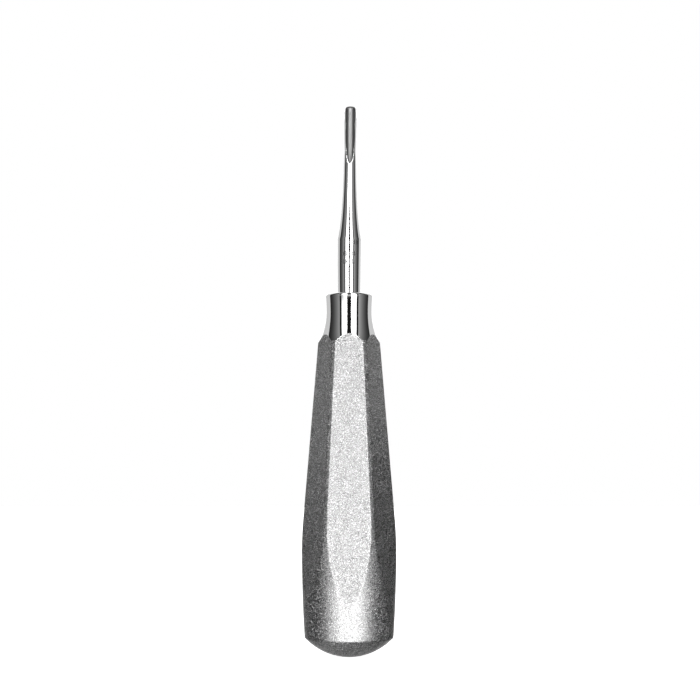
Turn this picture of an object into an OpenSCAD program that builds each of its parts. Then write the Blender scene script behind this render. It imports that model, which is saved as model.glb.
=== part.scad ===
// Straight dental elevator with a hollow, six-sided steel handle.
//
// Z is the axis of the instrument. The crown of the butt is at the origin and the tip of the
// blade is at the top. The gouge of the blade opens towards -Y. One flat of the handle faces -Y,
// and the seam between the two handle shells is the plane Y = 0, through two opposite corners.

/* [Overall] */
// Length from the crown of the butt to the tip of the blade
overall_length = 150; // [144:1:156]

/* [Handle] */
// Largest radius of the turned handle body
barrel_r = 12.71; // [12.5:0.01:13]
// Height of the largest radius above the butt
barrel_z = 28; // [24:1:30]
// Radius of the arc that turns the barrel into the taper
barrel_turn_r = 100; // [80:1:120]
// Radius across the corners where the taper ends under the collar
shoulder_r = 8.46; // [8.4:0.01:8.52]
// Height where the taper would end
shoulder_z = 83.85; // [83.5:0.05:84.2]
// Distance from the axis to a flat, at the height of the collar seat
flat_r = 7.47; // [7.46:0.01:7.5]
// Angle between a flat and the axis, in degrees
flat_tilt = 4; // [3.8:0.1:4.2]
// Wall thickness of the pressed shells and of the end cap
wall = 1.2; // [0.8:0.1:1.5]

/* [End cap] */
// Radius of the sharp rim between the barrel and the domed butt
butt_r = 11.9; // [11.6:0.1:12.1]
// Radius of the sphere that the domed butt is part of
dome_radius = 16.3; // [15:0.1:20]
// Length of the locating ring inside the shells
cap_ring_length = 4; // [3:0.5:6]

/* [Collar] */
// Smallest radius of the waisted collar
waist_r = 6.15; // [6.1:0.01:6.16]
// Height of the waist
waist_z = 92.6; // [92.5:0.05:92.7]
// Radius of the hollow arc below the waist
flare_radius = 16.3; // [16:0.1:16.5]
// Radius of the flatter hollow arc between the waist and the top edge
lip_radius = 46; // [40:1:60]
// Height of the seat where the collar meets the shells
seat_z = 86.2; // [86.2:0.05:86.4]
// Height of the top face of the collar
collar_top_z = 97.4; // [97:0.1:98]
// Length of the plug below the seat, inside the shells
plug_length = 10; // [8:0.5:14]

/* [Working end] */
// Radius of the parallel shank
shank_r = 3.12; // [3:0.02:3.2]
// Height where the shank starts to taper
taper_z = 112.8; // [112:0.1:114]
// Radius that the taper settles to
neck_r = 1.55; // [1.5:0.01:1.6]
// Height over which the taper falls to about a third
taper_fall = 8.4; // [8:0.1:9]
// Height of the waist between neck and blade
blade_z = 137.8; // [137:0.1:138.5]
// Radius of that waist
blade_root_r = 1.58; // [1.55:0.01:1.62]
// Half width of the blade near its tip
blade_r = 1.75; // [1.7:0.01:1.8]
// Radius of the gouge
gouge_r = 1.45; // [1.3:0.05:1.6]
// Radius of the arc on which the gouge runs out of the neck
gouge_wheel_r = 18; // [15:1:22]
// Corner radius of the tip
tip_corner_r = 1.2; // [1:0.05:1.4]
// Diameter of the tang inside the collar
tang_d = 5; // [4.5:0.1:5.4]
// Diameter of the pin across the tang
pin_d = 2; // [1.5:0.1:2.5]

/* [Hidden] */

$fn = 96;
fit_gap = 0.02; // play of parts that are pressed or welded together
cut = 1; // how far a cutting solid runs past what it cuts
big = 60; // larger than any radius of the part

tang_r = tang_d / 2;
tang_end_z = seat_z - plug_length - 4;
pin_z = seat_z - plug_length / 2;
edge_break = 0.3; // small chamfer on turned edges
collar_edge_r = 0.6; // round of the top edge of the collar
gouge_floor_y = -0.4; // bottom of the gouge
gouge_turn_z = blade_z + 2.8; // where the gouge turns from straight to its run-out
back_r = 1.9; // radius of the ground back of the blade
back_tip_y = 0.5; // back of the blade at its tip
back_lean = 4.5; // lean of the back, in degrees
back_low_z = blade_z - 3.4; // below this the back stays clear of the neck

// Centre of the hollow arc along the collar, as [radius, height]
flare_centre = [waist_r + flare_radius, waist_z];
butt_z = dome_radius - sqrt(pow(dome_radius, 2) - pow(butt_r, 2));

// The barrel rises from the rim to its largest radius on one long arc
barrel_rise = [barrel_r - butt_r, barrel_z - butt_z];
barrel_arc_r = (barrel_rise.x * barrel_rise.x + barrel_rise.y * barrel_rise.y) / (2 * barrel_rise.x);

// Slope of the taper: the line from the shoulder that touches the turning arc
shoulder_from_turn = [shoulder_r - barrel_r + barrel_turn_r, shoulder_z - barrel_z];
taper_angle = atan2(shoulder_from_turn.y, shoulder_from_turn.x)
    - acos(barrel_turn_r / norm(shoulder_from_turn));

function barrel_arc_point(z) =
    [barrel_r - barrel_arc_r + sqrt(pow(barrel_arc_r, 2) - pow(barrel_z - z, 2)), z];
function turn_arc_point(a) =
    [barrel_r - barrel_turn_r * (1 - cos(a)), barrel_z + barrel_turn_r * sin(a)];
function taper_point(z) = [shoulder_r - (z - shoulder_z) * tan(taper_angle), z];
function neck_point(z) = [neck_r + (shank_r - neck_r) * exp(-(z - taper_z) / taper_fall), z];

arc_steps = 6;
// Outline of the turned body, from the rim to above the collar seat
body_outline = concat(
    [for (i = [0:arc_steps - 1]) barrel_arc_point(butt_z + (barrel_z - butt_z) * i / arc_steps)],
    [for (i = [0:arc_steps]) turn_arc_point(taper_angle * i / arc_steps)],
    [taper_point(seat_z + cut)]
);

// Half of the turned outline as a 2D area, moved towards the axis by inset.
// It runs past the rim and the seat by cut when it is used to hollow the shells.
module turned_area(inset, z_low, z_high) {
    intersection() {
        difference() {
            polygon(concat(
                [[0, butt_z - cut], [butt_r - inset, butt_z - cut]],
                [for (p = body_outline) [p.x - inset, p.y]],
                [[0, seat_z + cut]]
            ));
            translate(flare_centre) circle(r = flare_radius + inset);
        }
        translate([0, z_low]) square([big, z_high - z_low]);
    }
}

// Everything on the axis side of one flat that faces +X
module inside_of_flat(inset) {
    translate([flat_r - inset, 0, seat_z])
        rotate([0, -flat_tilt, 0])
            translate([-big, -big / 2, -2 * big])
                cube([big, big, 3 * big]);
}

// The handle's form: the turned body cut by six leaning flats
module handle_form(inset, z_low, z_high) {
    intersection() {
        rotate_extrude() turned_area(inset, z_low, z_high);
        rotate([0, 0, 30]) inside_of_flat(inset);
        rotate([0, 0, 90]) inside_of_flat(inset);
        rotate([0, 0, 150]) inside_of_flat(inset);
        rotate([0, 0, 210]) inside_of_flat(inset);
        rotate([0, 0, 270]) inside_of_flat(inset);
        rotate([0, 0, 330]) inside_of_flat(inset);
    }
}

// One pressed shell. Side is -1 for the half towards -Y and 1 for the half towards +Y.
module handle_shell(side) {
    intersection() {
        difference() {
            handle_form(0, butt_z, seat_z);
            handle_form(wall, butt_z - cut, seat_z + cut);
        }
        translate([-big / 2, side < 0 ? -big : 0, 0]) cube([big, big, overall_length]);
    }
}

module handle_shell_front() {
    color("silver") handle_shell(-1);
}

module handle_shell_back() {
    color("silver") handle_shell(1);
}

// Domed cup that closes the butt, with a ring that locates it inside the shells
module end_cap() {
    ring_r = butt_r - wall - fit_gap;
    color("darkgray") rotate_extrude() difference() {
        union() {
            intersection() {
                translate([0, dome_radius]) circle(r = dome_radius, $fn = 240);
                square([butt_r, butt_z]);
            }
            translate([0, butt_z - wall]) square([ring_r, wall + cap_ring_length]);
        }
        translate([0, dome_radius]) circle(r = dome_radius - wall, $fn = 240);
        translate([0, butt_z]) square([ring_r - wall, cap_ring_length + cut]);
        translate([-big, -cut]) square([big, big]);
    }
}

// Hollow arc of the collar's side on one side of the waist, as the area outside it
module hollow_side(radius, z_low, z_high) {
    intersection() {
        translate([waist_r + radius, waist_z]) circle(r = radius, $fn = 360);
        translate([0, z_low]) square([big, z_high - z_low]);
    }
}

// Outline of the collar above its seat: the hollow side and the rounded top edge
module collar_area() {
    top_r = waist_r + lip_radius - sqrt(pow(lip_radius, 2) - pow(collar_top_z - waist_z, 2));
    round_centre = [top_r - collar_edge_r, collar_top_z - collar_edge_r];
    difference() {
        union() {
            translate([0, seat_z]) square([shoulder_r, round_centre.y - seat_z]);
            translate([0, seat_z]) square([round_centre.x, collar_top_z - seat_z]);
            translate(round_centre) circle(r = collar_edge_r);
        }
        hollow_side(flare_radius, 0, waist_z);
        hollow_side(lip_radius, waist_z, overall_length);
    }
}

// Turned collar with a six-sided plug that keys it between the shells
module collar() {
    color("gainsboro") difference() {
        union() {
            rotate_extrude() collar_area();
            handle_form(wall + fit_gap, seat_z - plug_length, seat_z);
        }
        translate([0, 0, seat_z - plug_length - cut])
            cylinder(r = tang_r + fit_gap, h = collar_top_z - seat_z + plug_length + 2 * cut);
        pin_hole();
    }
}

// Cross hole for the tang pin, through the plug and the tang
module pin_hole() {
    translate([0, 0, pin_z])
        rotate([90, 0, 0])
            cylinder(r = pin_d / 2 + fit_gap, h = big / 2, center = true, $fn = 48);
}

// Pin that locks the tang in the plug, with chamfered ends
module tang_pin() {
    pin_r = pin_d / 2;
    half = flat_r - wall - edge_break;
    color("gray") translate([0, 0, pin_z]) rotate([90, 0, 0]) rotate_extrude($fn = 48) polygon([
        [0, -half],
        [pin_r - edge_break, -half],
        [pin_r, -half + edge_break],
        [pin_r, half - edge_break],
        [pin_r - edge_break, half],
        [0, half]
    ]);
}

// Turned outline of the working end: tang, parallel shank, neck and blade blank
module working_end_blank() {
    neck_steps = 14;
    neck_end_z = blade_z - 4;
    blade_full_z = overall_length - 2 * tip_corner_r;
    rotate_extrude() polygon(concat(
        [
            [0, tang_end_z],
            [tang_r - edge_break, tang_end_z],
            [tang_r, tang_end_z + edge_break],
            [tang_r, collar_top_z],
            [shank_r, collar_top_z]
        ],
        [for (i = [0:neck_steps]) neck_point(taper_z + (neck_end_z - taper_z) * i / neck_steps)],
        [
            [blade_root_r, blade_z],
            [blade_r, blade_full_z],
            [blade_r, overall_length],
            [0, overall_length]
        ]
    ));
}

// Front outline of the rounded tip, which runs down past the whole working end
module tip_outline() {
    corner = [blade_r - tip_corner_r, overall_length - tip_corner_r];
    rotate([90, 0, 0]) linear_extrude(height = big, center = true) {
        translate([-corner.x, 0]) square([2 * corner.x, overall_length]);
        translate([-corner.x, corner.y]) circle(r = tip_corner_r);
        translate([corner.x, corner.y]) circle(r = tip_corner_r);
        translate([-big / 2, 0]) square([big, corner.y]);
    }
}

// Hollow of the gouge: straight along the blade, then an arc that runs out of the neck
module gouge() {
    centre_y = gouge_floor_y - gouge_r;
    translate([0, centre_y, gouge_turn_z])
        cylinder(r = gouge_r, h = overall_length - gouge_turn_z + cut);
    translate([0, centre_y - gouge_wheel_r, gouge_turn_z])
        rotate([0, 90, 0])
            rotate_extrude($fn = 240)
                translate([gouge_wheel_r, 0]) circle(r = gouge_r - fit_gap);
}

// Round back of the blade, which leans forward so that the blade thins towards its tip
module blade_back() {
    translate([0, back_tip_y - back_r, overall_length])
        rotate([back_lean, 0, 0])
            translate([0, 0, back_low_z - overall_length - cut])
                cylinder(r = back_r, h = overall_length - back_low_z + 2 * cut);
    translate([-big / 2, -big / 2, 0]) cube([big, big, back_low_z]);
}

module working_end() {
    color("lightgray") difference() {
        intersection() {
            working_end_blank();
            blade_back();
            tip_outline();
        }
        gouge();
        pin_hole();
    }
}

working_end();
collar();
tang_pin();
handle_shell_front();
handle_shell_back();
end_cap();
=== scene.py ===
"""Studio dressing for a straight dental elevator with a hollow, six-sided steel handle.

Z is the axis of the instrument, the crown of the butt is at the origin and the tip is at the top.
The gouge of the blade and one flat of the handle face -Y. Lengths inside the classes are in
millimetres and become metres when a mesh is made.
"""

import logging
import math
from dataclasses import dataclass
from enum import Enum

import bmesh
import bpy
import numpy as np
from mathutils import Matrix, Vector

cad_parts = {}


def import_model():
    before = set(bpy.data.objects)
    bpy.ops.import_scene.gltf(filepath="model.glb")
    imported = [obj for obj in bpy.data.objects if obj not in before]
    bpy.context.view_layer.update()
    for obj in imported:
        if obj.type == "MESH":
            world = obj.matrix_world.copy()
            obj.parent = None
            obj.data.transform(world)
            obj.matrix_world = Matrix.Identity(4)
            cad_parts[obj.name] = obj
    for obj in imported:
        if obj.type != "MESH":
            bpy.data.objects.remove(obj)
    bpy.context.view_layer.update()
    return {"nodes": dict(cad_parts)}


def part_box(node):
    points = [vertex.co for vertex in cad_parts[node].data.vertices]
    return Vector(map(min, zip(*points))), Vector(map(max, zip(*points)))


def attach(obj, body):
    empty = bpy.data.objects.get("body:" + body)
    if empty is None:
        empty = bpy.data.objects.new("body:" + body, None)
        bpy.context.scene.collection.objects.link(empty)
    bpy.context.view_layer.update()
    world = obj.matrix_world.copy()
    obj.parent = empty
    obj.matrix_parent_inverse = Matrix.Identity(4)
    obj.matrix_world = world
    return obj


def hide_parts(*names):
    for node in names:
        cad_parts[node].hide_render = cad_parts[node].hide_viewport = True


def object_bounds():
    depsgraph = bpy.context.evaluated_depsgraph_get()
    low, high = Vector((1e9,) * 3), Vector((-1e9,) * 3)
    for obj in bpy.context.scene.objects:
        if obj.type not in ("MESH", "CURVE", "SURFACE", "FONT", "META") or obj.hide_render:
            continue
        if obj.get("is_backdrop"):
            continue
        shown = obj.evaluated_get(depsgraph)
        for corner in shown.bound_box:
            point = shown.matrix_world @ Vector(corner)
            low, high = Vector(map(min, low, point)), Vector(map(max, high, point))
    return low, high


LOG = logging.getLogger("elevator")
MM = 0.001
BODY = "root"
FULL_TURN = 2.0 * math.pi
# Points of a piece that are closer than this, in metres, are one point
MERGE = 1e-8


class Side(Enum):
    """Which half of the handle a shell is, as the sign of its Y."""

    FRONT = -1
    BACK = 1


class Hand(Enum):
    """Which side of the camera's view something is on, as the sign of its turn."""

    LEFT = -1
    BOTH = 0
    RIGHT = 1


# -------------------- shader maths


class Value:
    """One output socket, with the arithmetic of shader maths written as Python operators."""

    def __init__(self, board: "Board", socket: bpy.types.NodeSocket) -> None:
        """Keeps the socket and the board that it is on."""
        self.board = board
        self.socket = socket

    def _maths(self, operation: str, *terms: "Value | float") -> "Value":
        """Adds one Math node on these terms.

        Args:
            operation: the Math node's operation.
            terms: its inputs in order.

        Returns:
            The node's result.
        """
        node = self.board.node("ShaderNodeMath", {"operation": operation}, dict(enumerate(terms)))
        return Value(self.board, node.outputs[0])

    def __add__(self, other: "Value | float") -> "Value":
        """self + other."""
        return self._maths("ADD", self, other)

    def __radd__(self, other: float) -> "Value":
        """other + self."""
        return self._maths("ADD", other, self)

    def __sub__(self, other: "Value | float") -> "Value":
        """self - other."""
        return self._maths("SUBTRACT", self, other)

    def __rsub__(self, other: float) -> "Value":
        """other - self."""
        return self._maths("SUBTRACT", other, self)

    def __mul__(self, other: "Value | float") -> "Value":
        """self * other."""
        return self._maths("MULTIPLY", self, other)

    def __rmul__(self, other: float) -> "Value":
        """other * self."""
        return self._maths("MULTIPLY", other, self)

    def __truediv__(self, other: "Value | float") -> "Value":
        """self / other."""
        return self._maths("DIVIDE", self, other)

    def __rtruediv__(self, other: float) -> "Value":
        """other / self."""
        return self._maths("DIVIDE", other, self)

    def __abs__(self) -> "Value":
        """The absolute value."""
        return self._maths("ABSOLUTE", self)

    def power(self, exponent: float) -> "Value":
        """Self, or 0 where it is less than 0, to a power."""
        return self._maths("POWER", self._maths("MAXIMUM", self, 0.0), exponent)

    def wave(self, pitch: float) -> "Value":
        """Distance to the nearest whole multiple of pitch."""
        return self._maths("PINGPONG", self, pitch / 2.0)

    def arcsine(self) -> "Value":
        """The angle, in radians, whose sine is self."""
        return self._maths("ARCSINE", self)

    def angle(self, across: "Value | float") -> "Value":
        """The angle, in radians, whose opposite side is self and whose near side is across."""
        return self._maths("ARCTAN2", self, across)

    def rise(self, low: float, high: float) -> "Value":
        """0 below low and 1 above high, with a smooth step between them.

        Args:
            low: where the step starts.
            high: where it ends.

        Returns:
            The step, from 0 to 1.
        """
        node = self.board.node(
            "ShaderNodeMapRange",
            {"interpolation_type": "SMOOTHSTEP"},
            {"Value": self, "From Min": low, "From Max": high},
        )
        return Value(self.board, node.outputs["Result"])

    def within(self, low: float, high: float, soft: float) -> "Value":
        """1 between low and high, with edges that are soft wide on each side."""
        return self.rise(low - soft, low + soft) * (1.0 - self.rise(high - soft, high + soft))


class Board:
    """The nodes of one material or of the world."""

    def __init__(self, tree: bpy.types.NodeTree) -> None:
        """Starts from an empty tree."""
        self.tree = tree
        self.tree.nodes.clear()

    def node(
        self, kind: str, settings: dict[str, object] | None = None, inputs: dict | None = None
    ) -> bpy.types.Node:
        """Adds a node.

        Args:
            kind: the node's type.
            settings: its properties, which are set before its sockets.
            inputs: socket name or number to a number, a colour or a Value.

        Returns:
            The new node.
        """
        made = self.tree.nodes.new(kind)
        for name, setting in (settings or {}).items():
            setattr(made, name, setting)
        for name, term in (inputs or {}).items():
            if isinstance(term, Value):
                self.tree.links.new(term.socket, made.inputs[name])
            else:
                made.inputs[name].default_value = term
        return made

    def output(self, node: bpy.types.Node, name: str | int = 0) -> Value:
        """One output of a node as a Value."""
        return Value(self, node.outputs[name])

    def axes(self, node: bpy.types.Node, name: str) -> tuple[Value, Value, Value]:
        """The three parts of a vector output."""
        split = self.node("ShaderNodeSeparateXYZ", None, {0: self.output(node, name)})
        return tuple(self.output(split, axis) for axis in "XYZ")

    def object_place(self) -> Value:
        """The place on the object, in metres."""
        return self.output(self.node("ShaderNodeTexCoord"), "Object")

    def noise(
        self, size: float, detail: float = 2.0, stretch: tuple[float, float, float] = (1.0, 1.0, 1.0)
    ) -> Value:
        """Noise about 0.5 on the object's own coordinates.

        Args:
            size: the width of one grain, in metres.
            detail: how many octaves are added.
            stretch: how often the noise repeats along each axis, next to a plain grain.

        Returns:
            The noise, from 0 to 1.
        """
        mapping = self.node("ShaderNodeMapping", None, {"Vector": self.object_place(), "Scale": stretch})
        made = self.node(
            "ShaderNodeTexNoise",
            None,
            {"Vector": self.output(mapping), "Scale": 1.0 / size, "Detail": detail},
        )
        return self.output(made, 0)

    def dents(self, size: float) -> tuple[Value, Value, Value]:
        """Round dents packed side by side.

        Args:
            size: the width of one dent, in metres.

        Returns:
            The dents' height from 0 to 1, and two chances from 0 to 1 for each dent.
        """
        cells = self.node(
            "ShaderNodeTexVoronoi", None, {"Vector": self.object_place(), "Scale": 1.0 / size}
        )
        reach = self.output(cells, "Distance")
        chance = self.node("ShaderNodeSeparateColor", None, {0: self.output(cells, "Color")})
        depth = self.output(chance, "Green")
        return reach * reach * depth, self.output(chance, "Red"), self.output(chance, "Blue")

    def mask(self, name: str) -> Value:
        """A mask that a piece carries on its vertices."""
        return self.output(self.node("ShaderNodeAttribute", {"attribute_name": name}), "Fac")

    def grey(self, tone: Value) -> Value:
        """A colour with the same red, green and blue."""
        made = self.node("ShaderNodeCombineColor", None, {"Red": tone, "Green": tone, "Blue": tone})
        return self.output(made)

    def bump(self, height: Value, depth: float) -> Value:
        """A normal that follows a height of depth metres."""
        made = self.node("ShaderNodeBump", None, {"Height": height, "Distance": depth, "Strength": 1.0})
        return self.output(made)


# -------------------- finishes


def steel(name: str, tone: Value, metallic: "Value | float", roughness: Value, normal: Value) -> None:
    """Ends a board in a metal surface.

    Args:
        name: the finish's name, for the log.
        tone: the grey of the metal.
        metallic: 1, or less where the surface scatters light evenly.
        roughness: its roughness.
        normal: its bumped normal.
    """
    board = tone.board
    surface = board.node(
        "ShaderNodeBsdfPrincipled",
        None,
        {"Base Color": board.grey(tone), "Metallic": metallic, "Roughness": roughness, "Normal": normal},
    )
    board.node("ShaderNodeOutputMaterial", None, {"Surface": board.output(surface)})
    LOG.info("finish %s", name)


def new_board(name: str) -> tuple[bpy.types.Material, Board]:
    """Makes a new material.

    Args:
        name: its name.

    Returns:
        The material and its empty board.
    """
    material = bpy.data.materials.new(name)
    material.use_nodes = True
    return material, Board(material.node_tree)


@dataclass(frozen=True)
class BlastedSteel:
    """Bead-blasted steel: shallow round dents side by side, with polish where the mask is 1.

    Each dent has its own tone and its own dullness. The dullest ones scatter light evenly and are
    paler, and broad faint blotches lie over all of them.

    Attributes:
        tone: the grey of the blasted metal.
        dent: the width of one dent, in metres, and dent_depth its depth.
        dent_tone: how much the tone varies from dent to dent.
        dent_matt: how evenly the dullest dent scatters light, from 0 to 1.
        matt_power: the higher, the fewer dents are dull.
        matt_tone: how much paler the dullest dent is.
        blotch: the width of one blotch, in metres.
    """

    tone: float = 0.164
    dent: float = 0.15 * MM
    dent_depth: float = 0.035 * MM
    dent_tone: float = 0.95
    dent_matt: float = 0.95
    matt_power: float = 7.0
    matt_tone: float = 2.4
    dent_roughness: float = 0.14
    blotch: float = 7.0 * MM
    blotch_tone: float = 0.12
    blotch_roughness: float = 0.08
    roughness: float = 0.32
    polished_tone: float = 0.92
    polished_roughness: float = 0.05

    def material(self, name: str) -> bpy.types.Material:
        """Makes the finish under a name.

        Args:
            name: the material's name.

        Returns:
            The material.
        """
        material, board = new_board(name)
        polish = board.mask("polish")
        rough = 1.0 - polish
        shape, shade, dull = board.dents(self.dent)
        shade = shade - 0.5
        blotch = board.noise(self.blotch, 3.0) - 0.5
        matt = dull.power(self.matt_power) * self.dent_matt
        tone = 1.0 + self.dent_tone * shade + self.blotch_tone * blotch + self.matt_tone * matt
        tone = self.tone * tone * rough + self.polished_tone * polish
        roughness = self.roughness + self.dent_roughness * (dull - 0.5) + self.blotch_roughness * blotch
        roughness = roughness * rough + self.polished_roughness * polish
        metallic = 1.0 - matt * rough
        steel(name, tone, metallic, roughness, board.bump(shape * rough, self.dent_depth))
        return material


@dataclass(frozen=True)
class MirrorSteel:
    """Turned and polished steel, with hair-fine rings left by the polishing.

    Attributes:
        ring: the width of one ring, in metres, and ring_depth its depth.
        haze: the width of one patch of haze, in metres.
        clear_haze: the haze at which the roughness is the plain one.
    """

    tone: float = 0.92
    roughness: float = 0.05
    ring: float = 0.5 * MM
    ring_stretch: tuple[float, float, float] = (0.15, 0.15, 6.0)
    ring_depth: float = 0.00025 * MM
    ring_roughness: float = 0.02
    haze: float = 3.0 * MM
    haze_tone: float = 0.04
    haze_roughness: float = 0.03
    clear_haze: float = 0.4

    def material(self, name: str) -> bpy.types.Material:
        """Makes the finish under a name.

        Args:
            name: the material's name.

        Returns:
            The material.
        """
        material, board = new_board(name)
        rings = board.noise(self.ring, 2.0, self.ring_stretch)
        haze = board.noise(self.haze, 3.0)
        tone = self.tone * (1.0 + self.haze_tone * (haze - 0.5))
        roughness = self.roughness + self.haze_roughness * (haze - self.clear_haze)
        roughness = roughness + self.ring_roughness * (rings - 0.5)
        steel(name, tone, 1.0, roughness, board.bump(rings, self.ring_depth))
        return material


@dataclass(frozen=True)
class BladeSteel:
    """Polished steel of the working end: ground in the gouge, and etched with plain ticks.

    The etching's sizes are in millimetres.

    Attributes:
        line: the width of one grinding line, in metres, and line_depth its depth.
        clear_haze: the haze at which the roughness is the plain one.
        etch_rows: for each row its height, its middle's distance to the left and half its width.
        etch_width: the width of one tick, and etch_pitch the distance from one to the next.
        etch_edge: the run of a tick's soft side, and etch_soft that of its ends.
        etch_front: the Y between which the etching ends towards the back.
    """

    tone: float = 0.92
    roughness: float = 0.04
    haze: float = 1.5 * MM
    haze_roughness: float = 0.03
    clear_haze: float = 0.4
    ground_tone: float = 0.135
    ground_roughness: float = 0.42
    line: float = 0.16 * MM
    line_stretch: tuple[float, float, float] = (3.0, 3.0, 0.12)
    line_tone: float = 0.5
    line_depth: float = 0.004 * MM
    etch_rows: tuple[tuple[float, float, float], ...] = (
        (111.6, -1.3, 1.2),
        (108.4, 0.0, 2.0),
        (106.2, 0.4, 1.8),
    )
    etch_height: float = 1.3
    etch_pitch: float = 0.72
    etch_width: float = 0.36
    etch_edge: float = 0.05
    etch_soft: float = 0.04
    etch_front: tuple[float, float] = (-0.4, -0.3)
    etch_dark: float = 0.9
    etch_roughness: float = 0.62
    etch_depth: float = 0.5

    def etching(self, board: Board) -> Value:
        """A mask of short upright ticks in rows on the front of the shank.

        Args:
            board: the board of the finish.

        Returns:
            The mask: 1 on a tick and 0 between them.
        """
        x, y, z = board.axes(board.node("ShaderNodeTexCoord"), "Object")
        half = self.etch_width / 2.0 * MM
        edge = self.etch_edge * MM
        reach = self.etch_height / 2.0 * MM
        ticks = 1.0 - x.wave(self.etch_pitch * MM).rise(half, half + edge)
        marks = []
        for row, shift, width in self.etch_rows:
            tall = z.within(row * MM - reach, row * MM + reach, self.etch_soft * MM)
            past = abs(x + shift * MM).rise(width * MM, width * MM + edge)
            marks.append(tall * (1.0 - past))
        behind = y.rise(self.etch_front[0] * MM, self.etch_front[1] * MM)
        return sum(marks) * ticks * (1.0 - behind)

    def material(self, name: str) -> bpy.types.Material:
        """Makes the finish under a name.

        Args:
            name: the material's name.

        Returns:
            The material.
        """
        material, board = new_board(name)
        ground = board.mask("ground")
        bright = 1.0 - ground
        etched = self.etching(board)
        lines = board.noise(self.line, 2.0, self.line_stretch)
        haze = board.noise(self.haze, 2.0) - self.clear_haze
        ground_tone = self.ground_tone * (1.0 + self.line_tone * (lines - 0.5))
        tone = self.tone * bright + ground_tone * ground
        tone = tone * (1.0 - self.etch_dark * etched)
        roughness = (self.roughness + self.haze_roughness * haze) * bright
        roughness = roughness + self.ground_roughness * ground
        roughness = roughness * (1.0 - etched) + self.etch_roughness * etched
        relief = lines * ground - etched * self.etch_depth
        steel(name, tone, 1.0, roughness, board.bump(relief, self.line_depth))
        return material


# -------------------- meshes


def soft_min(a: np.ndarray, b: np.ndarray, blur: float) -> np.ndarray:
    """The smaller of a and b, rounded over: minus blur times the log of the summed exponentials."""
    return -blur * np.logaddexp(-a / blur, -b / blur)


def soft_max(a: np.ndarray, b: np.ndarray, blur: float) -> np.ndarray:
    """The larger of a and b, rounded over."""
    return -soft_min(-a, -b, blur)


def arc(centre: tuple[float, float], radius: float, start: float, end: float, count: int) -> np.ndarray:
    """Points on a circle: the centre plus the radius times the cosine and sine of the angle.

    Args:
        centre: the circle's centre, as distance from the axis and height.
        radius: its radius.
        start: the first angle, in degrees from outwards towards up.
        end: the last angle.
        count: how many points.

    Returns:
        A count by 2 array.
    """
    angle = np.radians(np.linspace(start, end, count))
    return np.stack([centre[0] + radius * np.cos(angle), centre[1] + radius * np.sin(angle)], axis=1)


def grid_quads(rows: int, columns: int, wrap_rows: bool, wrap_columns: bool) -> np.ndarray:
    """The quads between neighbouring points of a grid that is numbered row by row.

    Args:
        rows: the number of rows.
        columns: the number of columns.
        wrap_rows: joins the last row to the first.
        wrap_columns: joins the last column to the first.

    Returns:
        An array of four point numbers for each quad.
    """
    row = np.arange(rows if wrap_rows else rows - 1)[:, None]
    column = np.arange(columns if wrap_columns else columns - 1)[None, :]
    here = row * columns
    above = (row + 1) % rows * columns
    beside = (column + 1) % columns
    corners = [here + column, here + beside, above + beside, above + column]
    return np.stack(np.broadcast_arrays(*corners), axis=-1).reshape(-1, 4)


def make_piece(
    name: str,
    points: np.ndarray,
    faces: list,
    material: bpy.types.Material,
    masks: dict[str, np.ndarray] | None = None,
    sharp: float = 35.0,
) -> bpy.types.Object:
    """Makes one piece from points in millimetres.

    Args:
        name: the piece's name.
        points: an array whose last axis is x, y and z.
        faces: lists of point numbers.
        material: its finish.
        masks: vertex masks for the finish, each as long as points.
        sharp: edges that turn more than this many degrees are shaded as creases.

    Returns:
        The new object.
    """
    mesh = bpy.data.meshes.new(name)
    mesh.from_pydata((points.reshape(-1, 3) * MM).tolist(), [], faces)
    for mask, values in (masks or {}).items():
        mesh.attributes.new(mask, "FLOAT", "POINT").data.foreach_set("value", values.ravel())
    work = bmesh.new()
    work.from_mesh(mesh)
    bmesh.ops.remove_doubles(work, verts=work.verts, dist=MERGE)
    bmesh.ops.recalc_face_normals(work, faces=work.faces)
    work.to_mesh(mesh)
    work.free()
    mesh.polygons.foreach_set("use_smooth", np.ones(len(mesh.polygons), bool))
    mesh.set_sharp_from_angle(angle=math.radians(sharp))
    mesh.materials.append(material)
    piece = bpy.data.objects.new(name, mesh)
    bpy.context.scene.collection.objects.link(piece)
    LOG.info("%s: %d faces", name, len(mesh.polygons))
    return piece


def all_round(rows: np.ndarray, angle: np.ndarray) -> np.ndarray:
    """One value for each row, repeated at every angle."""
    return np.repeat(rows, angle.shape[1], axis=1)


def turn_grid(radius: np.ndarray, height: np.ndarray, angle: np.ndarray) -> np.ndarray:
    """Points at a radius and a height round the Z axis: x and y are the radius times cosine and sine."""
    radius, height, angle = np.broadcast_arrays(radius, height, angle)
    return np.stack([radius * np.cos(angle), radius * np.sin(angle), height], axis=-1)


# -------------------- handle


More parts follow.
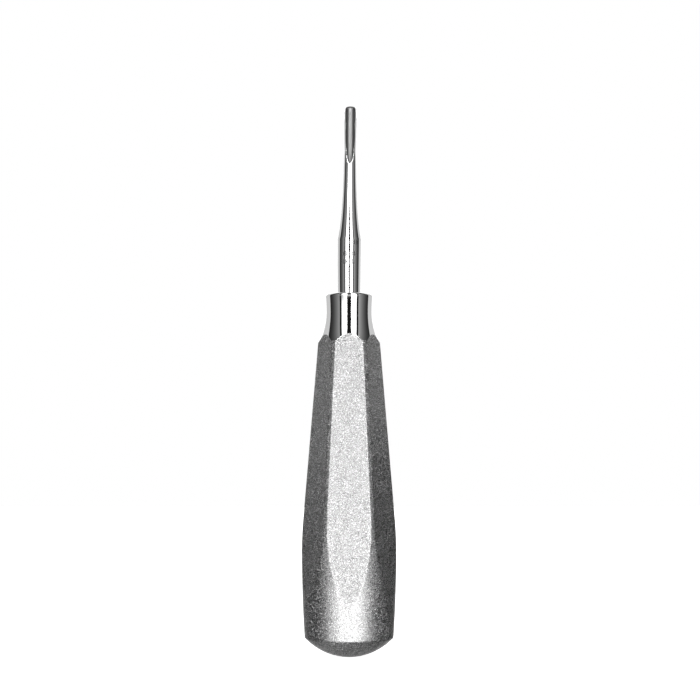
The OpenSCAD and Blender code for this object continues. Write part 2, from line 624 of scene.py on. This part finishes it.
@dataclass
class Handle:
    """The hollow handle: two pressed shells and the domed cap that closes the butt.

    Attributes:
        butt_z: height of the sharp rim between the cap and the shells, and butt_r its radius.
        seat_z: height of the seat, where the shells end and the collar starts.
        barrel_r: the largest radius, and barrel_z its height.
        turn_r: radius of the long arc over the barrel.
        shoulder: radius and height of the top of the straight taper.
        flat_r: distance of a flat from the axis at the seat, and flat_tilt its lean in degrees.
        waist: radius and height of the collar's waist, and flare_r the hollow arc's radius below it.
        corner_blur: how far the edges between the flats are rounded over.
        edge_break: size of the broken edges at the rim.
        scallop_reach: how far below the seat the scalloped edge is looked for.
        rim_rises: heights of two points of the cap's broken edge above its start.
        crease: edges that turn more than this many degrees are shaded as creases.
    """

    butt_z: float
    seat_z: float
    barrel_r: float
    butt_r: float
    barrel_z: float = 28.0
    turn_r: float = 100.0
    shoulder: tuple[float, float] = (8.46, 83.85)
    flat_r: float = 7.47
    flat_tilt: float = 4.0
    waist: tuple[float, float] = (6.25, 92.6)
    flare_r: float = 17.5
    wall: float = 1.2
    fit_gap: float = 0.02
    corner_blur: float = 0.03
    edge_break: float = 0.12
    seam_depth: float = 0.035
    seam_width: float = 0.07
    scallop_reach: float = 5.0
    scallop_gap: float = 0.015
    cap_ring: float = 4.0
    ring_bevel: float = 0.3
    rim_inset: float = 0.05
    rim_rises: tuple[float, float] = (0.02, 0.07)
    rim_lean: float = 0.03
    crease: float = 28.0
    halvings: int = 40
    rows_break: int = 5
    rows_body: int = 132
    rows_flare: int = 12
    rows_inside: int = 34
    rows_dome: int = 90
    rows_dome_inside: int = 40
    columns: int = 400
    cap_columns: int = 320

    def turned(self, z: np.ndarray) -> np.ndarray:
        """Radius of the turned body: an arc up to the barrel, an arc over it, then a straight taper.

        Args:
            z: heights.

        Returns:
            The radii.
        """
        rise = self.barrel_r - self.butt_r
        run = self.barrel_z - self.butt_z
        low_r = (rise**2 + run**2) / (2.0 * rise)
        out = self.shoulder[0] - self.barrel_r + self.turn_r
        up = self.shoulder[1] - self.barrel_z
        slope = math.atan2(up, out) - math.acos(self.turn_r / math.hypot(out, up))
        off = z - self.barrel_z
        low = self.barrel_r - low_r + np.sqrt(low_r**2 - np.minimum(off, 0.0) ** 2)
        over = np.clip(off, 0.0, self.turn_r * math.sin(slope))
        high = self.turn_r - np.sqrt(self.turn_r**2 - over**2)
        taper = np.maximum(off - self.turn_r * math.sin(slope), 0.0) * math.tan(slope)
        return low - high - taper

    def body(self, angle: np.ndarray, z: np.ndarray, inset: float = 0.0) -> np.ndarray:
        """Radius of the blasted body: the turned radius or the nearest flat, whichever is less.

        A flat's radius is its distance from the axis over the cosine of the angle to its middle.

        Args:
            angle: angles round the axis.
            z: heights.
            inset: how far inside the outer surface.

        Returns:
            The radii.
        """
        sixth = math.pi / 3.0
        off = np.mod(angle - math.pi / 2.0 + sixth / 2.0, sixth) - sixth / 2.0
        flat = self.flat_r - inset + (self.seat_z - z) * math.tan(math.radians(self.flat_tilt))
        return soft_min(self.turned(z) - inset, flat / np.cos(off), self.corner_blur)

    def flare(self, z: np.ndarray) -> np.ndarray:
        """Radius of the hollow arc that the collar and the tops of the shells share."""
        off = np.minimum(z - self.waist[1], 0.0)
        return self.waist[0] + self.flare_r - np.sqrt(self.flare_r**2 - off**2)

    def scallop(self, angle: np.ndarray) -> np.ndarray:
        """Height where the body meets the flare, by halving the interval.

        Args:
            angle: angles round the axis.

        Returns:
            The heights, one for each angle.
        """
        low = np.full_like(angle, self.seat_z - self.scallop_reach)
        high = np.full_like(angle, self.seat_z)
        for _ in range(self.halvings):
            middle = (low + high) / 2.0
            under = self.body(angle, middle) < self.flare(middle)
            low = np.where(under, middle, low)
            high = np.where(under, high, middle)
        return low

    def shell(self, side: Side, material: bpy.types.Material) -> bpy.types.Object:
        """One pressed shell as a closed solid.

        The outer surface runs up from the butt, turns over the scalloped edge into the polished
        flare and ends at the seat. The inner surface runs back down one wall further in.

        Args:
            side: which half.
            material: its finish.

        Returns:
            The piece.
        """
        angle = np.linspace(0.0, math.pi, self.columns)[None, :] * side.value
        edge = self.scallop(angle)
        quarter = np.linspace(0.0, math.pi / 2.0, self.rows_break)[:, None]
        foot_z = all_round(self.butt_z + self.edge_break * (1.0 - np.cos(quarter)), angle)
        foot_in = self.edge_break * (1.0 - np.sin(quarter))
        along = np.linspace(0.0, 1.0, self.rows_body)[:, None]
        start = self.butt_z + self.edge_break
        body_z = start + (edge - self.scallop_gap - start) * along
        over = np.linspace(0.0, 1.0, self.rows_flare)[:, None]
        flare_z = edge + (self.seat_z - edge) * over
        inside_z = all_round(np.linspace(self.seat_z, self.butt_z, self.rows_inside)[:, None], angle)
        outside_z = np.concatenate([foot_z[:-1], body_z])
        outside_r = self.body(angle, outside_z)
        outside_r[: len(foot_z) - 1] -= foot_in[:-1]
        flare_r = np.minimum(self.flare(flare_z), self.body(angle, flare_z))
        seam = np.minimum(np.abs(angle), math.pi - np.abs(angle)) * outside_r
        outside_r = outside_r - self.seam_depth * np.exp(-((seam / self.seam_width) ** 2))
        radius = np.concatenate([outside_r, flare_r, self.body(angle, inside_z, self.wall)])
        height = np.concatenate([outside_z, flare_z, inside_z])
        points = turn_grid(radius, height, angle)
        points[:, [0, -1], 1] = 0.0
        polish = np.zeros(radius.shape)
        polish[len(outside_r) : len(outside_r) + len(flare_r)] = 1.0
        rows = len(radius)
        faces = grid_quads(rows, self.columns, True, False).tolist()
        seam_rows = np.arange(rows) * self.columns
        faces += [seam_rows.tolist(), (seam_rows + self.columns - 1).tolist()]
        name = f"handle_{side.name.lower()}"
        piece = make_piece(name, points, faces, material, {"polish": polish}, self.crease)
        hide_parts(f"handle_shell_{side.name.lower()}")
        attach(piece, BODY)
        return piece

    def cap(self, material: bpy.types.Material) -> bpy.types.Object:
        """The domed cap: an outline of arcs and lines carried round the axis.

        Its locating ring is cap_ring high, which is higher than that of the CAD's cap.

        Args:
            material: its finish.

        Returns:
            The piece.
        """
        dome = (self.butt_r**2 + self.butt_z**2) / (2.0 * self.butt_z)
        rim = self.butt_r - self.rim_inset
        broken = self.butt_z - self.edge_break
        rim_low, rim_high = self.rim_rises
        rim_angle = -math.degrees(math.acos(rim / dome))
        ring = self.butt_r - self.wall - self.fit_gap
        bevel = self.ring_bevel
        top = self.butt_z + self.cap_ring
        inner = dome - self.wall
        inner_r = ring - self.wall
        inner_angle = -math.degrees(math.acos(inner_r / inner))
        inner_z = dome + inner * math.sin(math.radians(inner_angle))
        outline = np.concatenate([
            arc((0.0, dome), dome, -90.0, rim_angle, self.rows_dome),
            [[rim, broken + rim_low], [rim - self.rim_lean, broken + rim_high]],
            [[rim - self.edge_break, self.butt_z], [ring, self.butt_z]],
            [[ring, top - bevel], [ring - bevel, top], [inner_r, top], [inner_r, inner_z]],
            arc((0.0, dome), inner, inner_angle, -90.0, self.rows_dome_inside),
        ])
        outline[0, 0] = outline[-1, 0] = 0.0
        angle = np.arange(self.cap_columns)[None, :] * FULL_TURN / self.cap_columns
        points = turn_grid(outline[:, :1], outline[:, 1:], angle)
        faces = grid_quads(len(outline), self.cap_columns, False, True).tolist()
        polish = np.zeros(points.shape[:2])
        piece = make_piece("butt_cap", points, faces, material, {"polish": polish})
        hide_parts("end_cap")
        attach(piece, BODY)
        return piece


# -------------------- collar


@dataclass
class Collar:
    """The polished, waisted collar with the six-sided plug that sits between the shells.

    The cross hole is left out, so the tang pin runs through solid metal here.
    """

    handle: Handle
    top_z: float
    plug_z: float
    lip_r: float = 46.0
    edge_r: float = 0.6
    bore_r: float = 2.52
    bore_bevel: float = 0.1
    plug_bevel: float = 0.3
    rows_low: int = 60
    rows_high: int = 30
    rows_edge: int = 16
    rows_plug: int = 12
    columns: int = 384

    def outline(self) -> np.ndarray:
        """The turned outline from the seat to the bore: two hollow arcs, a round and a flat top.

        Returns:
            Points as distance from the axis and height.
        """
        handle = self.handle
        waist_r, waist_z = handle.waist
        low_z = np.linspace(handle.seat_z, waist_z, self.rows_low)
        low = np.stack([handle.flare(low_z), low_z], axis=1)
        high_z = np.linspace(waist_z, self.top_z - self.edge_r, self.rows_high)[1:]
        lip = waist_r + self.lip_r - np.sqrt(self.lip_r**2 - (high_z - waist_z) ** 2)
        high = np.stack([lip, high_z], axis=1)
        centre = (high[-1, 0] - self.edge_r, high[-1, 1])
        edge = arc(centre, self.edge_r, 0.0, 90.0, self.rows_edge)[1:]
        top = [[self.bore_r + self.bore_bevel, self.top_z], [self.bore_r, self.top_z - self.bore_bevel]]
        return np.concatenate([low, high, edge, top])

    def build(self, material: bpy.types.Material) -> bpy.types.Object:
        """The collar as a closed ring: plug, seat, turned outline, bore and back to the plug.

        Args:
            material: its finish.

        Returns:
            The piece.
        """
        handle = self.handle
        outline = self.outline()
        angle = np.arange(self.columns)[None, :] * FULL_TURN / self.columns
        plug_z = all_round(np.linspace(self.plug_z, handle.seat_z, self.rows_plug)[:, None], angle)
        plug_r = handle.body(angle, plug_z, handle.wall + handle.fit_gap)
        plug_r[0] -= self.plug_bevel
        plug_z[1] = plug_z[0] + self.plug_bevel
        bore = np.full_like(angle, self.bore_r)
        turned_r = all_round(outline[:, :1], angle)
        turned_z = all_round(outline[:, 1:], angle)
        radius = np.concatenate([bore, plug_r, turned_r])
        height = np.concatenate([np.full_like(angle, self.plug_z), plug_z, turned_z])
        points = turn_grid(radius, height, angle)
        faces = grid_quads(len(radius), self.columns, True, True).tolist()
        piece = make_piece("waisted_collar", points, faces, material)
        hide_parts("collar")
        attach(piece, BODY)
        return piece


# -------------------- working end


@dataclass
class WorkingEnd:
    """Tang, shank, tapered neck and gouge blade, in one forging.

    Attributes:
        swell: the change of the shank's radius at the collar and at the top of the shank.
        lean: how far the end leans to the right for each millimetre above lean_z.
        taper_z: where the neck starts, and taper_fall how quickly it falls to neck_r.
        root: radius and height of the thinnest place below the blade, and root_run its length.
        gouge_floor: Y of the deepest line of the gouge.
        gouge_turn: height above the root where the wheel turns out of the blade.
        wheel_r: radius of the wheel that cuts the gouge.
        back_tip: Y of the back at the tip, and back_lean its lean in degrees.
        tip_reach: height of the round tip, and tip_power the power of its superellipse.
        bevel_start: how far below the tip's round the bevel starts, over bevel_run.
        ground_depth: depth over which the polish turns into the ground finish.
        shank_margin: distance between the last row of the shank and the neck's start.
        blade_margin: distance of the first fine row below the root.
        crease: edges that turn more than this many degrees are shaded as creases.
    """

    tang_z: float
    collar_z: float
    tip_z: float
    shank_r: float
    tang_r: float = 2.5
    tang_bevel: float = 0.3
    foot_bevel: float = 0.05
    swell: tuple[float, float] = (-0.01, 0.11)
    lean: float = 0.0085
    lean_z: float = 105.0
    taper_z: float = 112.8
    neck_r: float = 1.58
    taper_fall: float = 8.4
    root: tuple[float, float] = (1.58, 137.8)
    root_run: float = 2.2
    blade_r: float = 1.75
    gouge_r: float = 1.45
    gouge_floor: float = -0.4
    gouge_turn: float = 2.8
    wheel_r: float = 18.0
    back_r: float = 1.9
    back_tip: float = 0.5
    back_lean: float = 4.5
    tip_reach: float = 1.6
    tip_power: float = 2.0
    bevel_width: float = 0.5
    bevel_slope: float = 1.0
    bevel_start: float = 0.5
    bevel_run: float = 0.8
    edge_thickness: float = 0.05
    edge_blur: float = 0.02
    ground_depth: float = 0.03
    shank_margin: float = 1.0
    blade_margin: float = 4.6
    foot_gap: float = 0.01
    neck_gap: float = 0.2
    blade_gap: float = 0.05
    crease: float = 60.0
    rows_shank: int = 10
    rows_neck: int = 90
    rows_blade: int = 170
    rows_tip: int = 46
    columns: int = 288

    def blank(self, z: np.ndarray) -> np.ndarray:
        """Radius of the turned blank above the collar.

        The shank swells by a quarter sine, the neck falls away exponentially and dips to the root
        on a bell curve, and the blade widens from there by a quarter sine.

        Args:
            z: heights.

        Returns:
            The radii.
        """
        fall = np.exp(-np.maximum(z - self.taper_z, 0.0) / self.taper_fall)
        up = np.clip((z - self.collar_z) / (self.taper_z - self.collar_z), 0.0, 1.0)
        low, high = self.swell
        shank = self.shank_r + low + (high - low) * np.sin(up * math.pi / 2.0)
        neck = self.neck_r + (shank - self.neck_r) * fall
        root_r, root_z = self.root
        dip = (neck - root_r) * np.exp(-(((z - root_z) / self.root_run) ** 2))
        step = np.clip((z - root_z) / (self.tip_z - root_z), 0.0, 1.0)
        blade = root_r + (self.blade_r - root_r) * np.sin(step * math.pi / 2.0)
        return np.where(z < root_z, neck - dip, blade)

    def gouge(self, x: np.ndarray, z: np.ndarray) -> np.ndarray:
        """Y of the gouge: a round-edged wheel that runs straight up the blade from its turn.

        Below the turn the wheel's rim leaves the blade on an arc about the wheel's axis.

        Args:
            x: places across the blade.
            z: heights.

        Returns:
            The wheel's surface, below the blank's where it doesn't cut.
        """
        reach = self.wheel_r + np.sqrt(np.maximum(self.gouge_r**2 - x**2, 0.0))
        below = np.maximum(self.root[1] + self.gouge_turn - z, 0.0)
        axis = self.gouge_floor - self.gouge_r - self.wheel_r
        return axis + np.sqrt(np.maximum(reach**2 - below**2, 0.0))

    def back(self, x: np.ndarray, z: np.ndarray) -> np.ndarray:
        """Y of the round back, which leans forward towards the tip."""
        centre = self.back_tip - self.back_r + (self.tip_z - z) * math.tan(math.radians(self.back_lean))
        return centre + np.sqrt(np.maximum(self.back_r**2 - x**2, 0.0))

    def build(self, material: bpy.types.Material) -> bpy.types.Object:
        """The working end as one mesh of sections up the axis.

        Each section is an ellipse, cut in front by the gouge and behind by the back. Towards the
        tip its width closes on a superellipse, and a narrow bevel follows the tip's outline. The
        tang has no cross hole. The mesh isn't closed along the thin edge near the tip, where some
        of its edges are open or shared by more than two faces.

        Args:
            material: its finish.

        Returns:
            The piece.
        """
        turn = np.arange(self.columns)[None, :] * FULL_TURN / self.columns
        foot_r = self.shank_r + self.swell[0]
        bevel = self.tang_bevel
        tang = np.array([
            [0.0, self.tang_z], [self.tang_r - bevel, self.tang_z], [self.tang_r, self.tang_z + bevel],
            [self.tang_r, self.collar_z], [foot_r - self.foot_bevel, self.collar_z],
            [foot_r, self.collar_z + self.foot_bevel],
        ])
        foot_z = self.collar_z + self.foot_bevel + self.foot_gap
        shank_top = self.taper_z - self.shank_margin
        blade_low = self.root[1] - self.blade_margin
        tip_low = self.tip_z - self.tip_reach
        shank_z = np.linspace(foot_z, shank_top, self.rows_shank)
        neck_z = np.linspace(shank_top + self.neck_gap, blade_low, self.rows_neck)
        blade_z = np.linspace(blade_low + self.blade_gap, tip_low, self.rows_blade)
        sweep = np.linspace(0.0, math.pi / 2.0, self.rows_tip)[1:]
        tip_z = tip_low + self.tip_reach * np.sin(sweep) ** (2.0 / self.tip_power)
        closing = np.cos(sweep) ** (2.0 / self.tip_power)
        closing[-1] = 0.0
        z = np.concatenate([shank_z, neck_z, blade_z, tip_z])[:, None]
        radius = self.blank(z)
        width = radius * np.concatenate([np.ones(len(z) - len(tip_z)), closing])[:, None]
        x = width * np.sin(turn)
        y = -radius * np.cos(turn)
        wheel = self.gouge(x, z)
        over = np.clip((z - tip_low) / self.tip_reach, 0.0, 1.0)
        power = self.tip_power
        outline = (np.abs(x / self.blade_r) ** power + over**power) ** (1.0 / power)
        inwards = (1.0 - outline) * self.blade_r
        near_tip = np.clip((z - tip_low + self.bevel_start) / self.bevel_run, 0.0, 1.0)
        wheel = wheel + self.bevel_slope * np.maximum(self.bevel_width - inwards, 0.0) * near_tip
        back = self.back(x, z)
        cut = soft_max(y, np.minimum(wheel, back - self.edge_thickness), self.edge_blur)
        cut = soft_min(cut, back, self.edge_blur)
        ground = np.clip((wheel - y) / self.ground_depth, 0.0, 1.0)
        points = np.stack([x, cut, all_round(z, turn)], axis=-1)
        points[-1, :, 0] = 0.0
        points[..., 0] += self.lean * np.maximum(points[..., 2] - self.lean_z, 0.0)
        points = np.concatenate([turn_grid(tang[:, :1], tang[:, 1:], turn - math.pi / 2.0), points])
        ground = np.concatenate([np.zeros((len(tang), self.columns)), ground])
        faces = grid_quads(len(points), self.columns, False, True).tolist()
        piece = make_piece("blade_and_shank", points, faces, material, {"ground": ground}, self.crease)
        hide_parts("working_end")
        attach(piece, BODY)
        return piece


# -------------------- studio


@dataclass(frozen=True)
class Panel:
    """One soft panel of the light tent, by the directions that it fills.

    Turns are degrees from the camera's side towards the panel's hand. Heights are degrees above
    the horizon.

    Attributes:
        hand: the side that it is on, or both for a pair of panels.
        near: the turn of the panel's near side, and far that of its far side.
        low: the height of its bottom edge, and high that of its top edge.
        level: its light at the near side, and far_level at the far side.
        fade: the power by which the one turns into the other.
        soft: half the run of its soft sides, and soft_height that of its soft top and bottom.
    """

    hand: Hand
    near: float
    far: float
    low: float
    high: float
    level: float
    far_level: float
    fade: float = 1.0
    soft: float = 1.5
    soft_height: float = 6.0

    def light(self, turn: Value, height: Value) -> Value:
        """The panel's light in a direction.

        Args:
            turn: the direction's turn to the right, in degrees.
            height: its height, in degrees.

        Returns:
            The light's level.
        """
        turn = abs(turn) if self.hand is Hand.BOTH else turn * float(self.hand.value)
        left_over = (self.far - turn) / (self.far - self.near)
        level = left_over.power(self.fade) * (self.level - self.far_level) + self.far_level
        across = turn.within(self.near, self.far, self.soft)
        up = height.within(self.low, self.high, self.soft_height)
        return level * across * up


@dataclass(frozen=True)
class Flag:
    """A dim card that stands behind the object, to one side, and keeps its lower part dark.

    The card is an upright strip of a cylinder round the object.

    Attributes:
        hand: the side that it is on.
        radius: the cylinder's radius.
        top: height of the card's top edge, and depth how far it goes down below the floor.
        level: its own faint light, as a panel's level.
        near: the turn of its near side, in degrees, and far that of its far side.
        steps: how many points its bend has.
    """

    hand: Hand
    radius: float
    top: float
    level: float
    near: float = 104.0
    far: float = 152.0
    depth: float = 400.0
    steps: int = 25

    def build(self, gain: float) -> None:
        """Stands the card up, where only reflections see it.

        Args:
            gain: the light of a panel whose level is 1.
        """
        material, board = new_board("card")
        glow = board.node("ShaderNodeEmission", None, {"Strength": self.level * gain})
        board.node("ShaderNodeOutputMaterial", None, {"Surface": board.output(glow)})
        turn = self.hand.value * np.linspace(self.near, self.far, self.steps)
        angle = np.radians(turn - 90.0)[None, :]
        points = turn_grid(np.full((2, 1), self.radius), np.array([[-self.depth], [self.top]]), angle)
        faces = grid_quads(2, self.steps, False, False).tolist()
        card = make_piece(f"flag_{self.radius:.0f}", points, faces, material)
        card.visible_camera = False
        card.visible_shadow = False
        card.visible_diffuse = False
        card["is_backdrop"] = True


@dataclass
class Studio:
    """A pale floor, a light tent of soft panels and the camera.

    Attributes:
        length: the instrument's length.
        distance: how far in front of the axis the camera stands, and side_step how far to the right.
        eye_z: the camera's height, and pitch the degrees by which it looks up.
        lens: the camera's focal length, and sensor the width of its sensor.
        clip: the nearest and the farthest that it sees, in metres.
        floor_reach: half the floor's width, in lengths of the instrument.
        gloom: the light's level between the panels.
        gain: the light of a panel whose level is 1.
    """

    length: float
    distance: float = 381.6
    eye_z: float = 48.1
    pitch: float = 5.12
    side_step: float = 0.25
    lens: float = 72.31
    sensor: float = 36.0
    clip: tuple[float, float] = (0.01, 20.0)
    floor_reach: float = 12.0
    floor_tone: float = 0.9
    floor_roughness: float = 0.9
    floor_glow: float = 0.86
    gloom: float = 0.002
    gain: float = 2.5
    panels: tuple[Panel, ...] = (
        # Wide panels in front, with a dark gap between them
        Panel(Hand.LEFT, 11.8, 37.2, -0.4, 60.0, 0.60, 0.60, soft=0.7),
        Panel(Hand.RIGHT, 11.8, 37.8, -12.0, 60.0, 0.60, 0.60, soft=0.7),
        # Bright strips inside them, for the blasted front
        Panel(Hand.BOTH, 12.8, 23.0, -8.0, 42.0, 8.6, 2.60, soft=2.0),
        # Low light in front
        Panel(Hand.BOTH, 0.0, 56.0, -26.0, -5.0, 3.20, 1.50, soft=4.0, soft_height=4.0),
        Panel(Hand.BOTH, 0.0, 40.0, -50.0, -20.0, 2.50, 0.65, soft=4.0, soft_height=8.0),
        # Dim sides, which fade away from the camera
        Panel(Hand.BOTH, 56.0, 110.0, -50.0, -4.0, 0.05, 0.03, soft=4.0),
        Panel(Hand.LEFT, 47.5, 103.5, -4.0, 60.0, 0.130, 0.008, fade=2.0, soft=0.7),
        Panel(Hand.RIGHT, 47.5, 105.5, -4.0, 60.0, 0.158, 0.010, fade=2.0, soft=0.7),
        # Pale walls behind
        Panel(Hand.LEFT, 107.5, 150.0, -25.0, 55.0, 0.25, 0.23, soft=1.2, soft_height=4.0),
        Panel(Hand.RIGHT, 109.5, 150.0, -25.0, 55.0, 0.25, 0.24, soft=1.2, soft_height=4.0),
        Panel(Hand.LEFT, 150.0, 181.0, -25.0, 55.0, 0.30, 0.34, soft=3.0),
        Panel(Hand.RIGHT, 150.0, 181.0, -25.0, 55.0, 0.30, 0.34, soft=3.0),
        Panel(Hand.BOTH, 168.0, 181.0, -15.0, 50.0, 0.70, 0.70, soft=3.0),
        # Below and above
        Panel(Hand.BOTH, 0.0, 181.0, -91.0, -28.0, 0.12, 0.12, soft=3.0),
        Panel(Hand.BOTH, 0.0, 181.0, 68.0, 91.0, 0.25, 0.25, soft=3.0),
    )
    flags: tuple[Flag, ...] = (
        Flag(Hand.LEFT, 400.0, 60.0, 0.04),
        Flag(Hand.RIGHT, 159.0, 68.8, 0.008),
    )

    def camera(self) -> None:
        """Puts the camera in front of the instrument, low and looking slightly up."""
        lens = bpy.data.cameras.new("camera")
        lens.lens = self.lens
        lens.sensor_width = self.sensor
        lens.clip_start, lens.clip_end = self.clip
        seen = bpy.data.objects.new("camera", lens)
        seen.location = (self.side_step * MM, -self.distance * MM, self.eye_z * MM)
        seen.rotation_euler = (math.radians(90.0 + self.pitch), 0.0, 0.0)
        bpy.context.scene.collection.objects.link(seen)
        bpy.context.scene.camera = seen

    def tent(self) -> None:
        """Lights the world: the sum of the panels' light, and plain white behind the object."""
        world = bpy.data.worlds.new("tent")
        bpy.context.scene.world = world
        world.use_nodes = True
        board = Board(world.node_tree)
        x, y, z = board.axes(board.node("ShaderNodeTexCoord"), "Generated")
        degrees = 180.0 / math.pi
        turn = x.angle(0.0 - y) * degrees
        height = z.arcsine() * degrees
        light = sum(panel.light(turn, height) for panel in self.panels) + self.gloom
        light = light * self.gain
        tent = board.node("ShaderNodeBackground", None, {"Color": board.grey(light), "Strength": 1.0})
        white = board.node("ShaderNodeBackground", None, {"Color": (1, 1, 1, 1), "Strength": 1.0})
        path = board.node("ShaderNodeLightPath")
        both = board.node(
            "ShaderNodeMixShader",
            None,
            {0: board.output(path, "Is Camera Ray"), 1: board.output(tent), 2: board.output(white)},
        )
        board.node("ShaderNodeOutputWorld", None, {"Surface": board.output(both)})

    def floor(self) -> None:
        """Lays the pale floor that the butt stands on."""
        material, board = new_board("pale_floor")
        tone = self.floor_tone
        surface = board.node(
            "ShaderNodeBsdfPrincipled",
            None,
            {
                "Base Color": (tone, tone, tone, 1.0),
                "Roughness": self.floor_roughness,
                "Emission Color": (1.0, 1.0, 1.0, 1.0),
                "Emission Strength": self.floor_glow,
            },
        )
        board.node("ShaderNodeOutputMaterial", None, {"Surface": board.output(surface)})
        reach = self.floor_reach * self.length
        points = np.array([[-reach, -reach, 0], [reach, -reach, 0], [reach, reach, 0], [-reach, reach, 0]])
        floor = make_piece("floor", points, [[0, 1, 2, 3]], material)
        floor.visible_glossy = False
        floor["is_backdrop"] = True

    def build(self) -> None:
        """Sets up the camera, the light, the floor and the cards."""
        self.camera()
        self.tent()
        self.floor()
        for flag in self.flags:
            flag.build(self.gain)
        bpy.context.scene.view_settings.view_transform = "Standard"


# -------------------- main


def corners() -> list[list[float]]:
    """The shown object's lowest and highest corners as plain lists."""
    return [list(corner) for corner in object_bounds()]


def in_mm(node: str) -> tuple[np.ndarray, np.ndarray]:
    """A node's lowest and highest corners in millimetres."""
    low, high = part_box(node)
    return np.array(low) / MM, np.array(high) / MM


def main() -> None:
    """Builds every piece in order."""
    logging.basicConfig(level=logging.INFO, format="%(name)s: %(message)s")
    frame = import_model()

    shell_low, shell_high = in_mm("handle_shell_back")
    handle = Handle(
        butt_z=shell_low[2], seat_z=shell_high[2], barrel_r=shell_high[0], butt_r=in_mm("end_cap")[1][0]
    )
    handle_finish = BlastedSteel().material("blasted_steel")
    for side in Side:
        handle.shell(side, handle_finish)
    handle.cap(BlastedSteel(dent_depth=0.05 * MM).material("blasted_cap"))

    collar_low, collar_high = in_mm("collar")
    collar = Collar(handle, top_z=collar_high[2], plug_z=collar_low[2])
    collar.build(MirrorSteel().material("mirror_steel"))

    end_low, end_high = in_mm("working_end")
    working_end = WorkingEnd(
        tang_z=end_low[2], collar_z=collar_high[2], tip_z=end_high[2], shank_r=end_high[0]
    )
    working_end.build(BladeSteel().material("blade_steel"))

    pin = frame["nodes"]["tang_pin"]
    pin.data.materials.clear()
    pin.data.materials.append(MirrorSteel(tone=0.55, roughness=0.3).material("pin_steel"))

    Studio(length=end_high[2]).build()


if __name__ == "__main__":
    main()
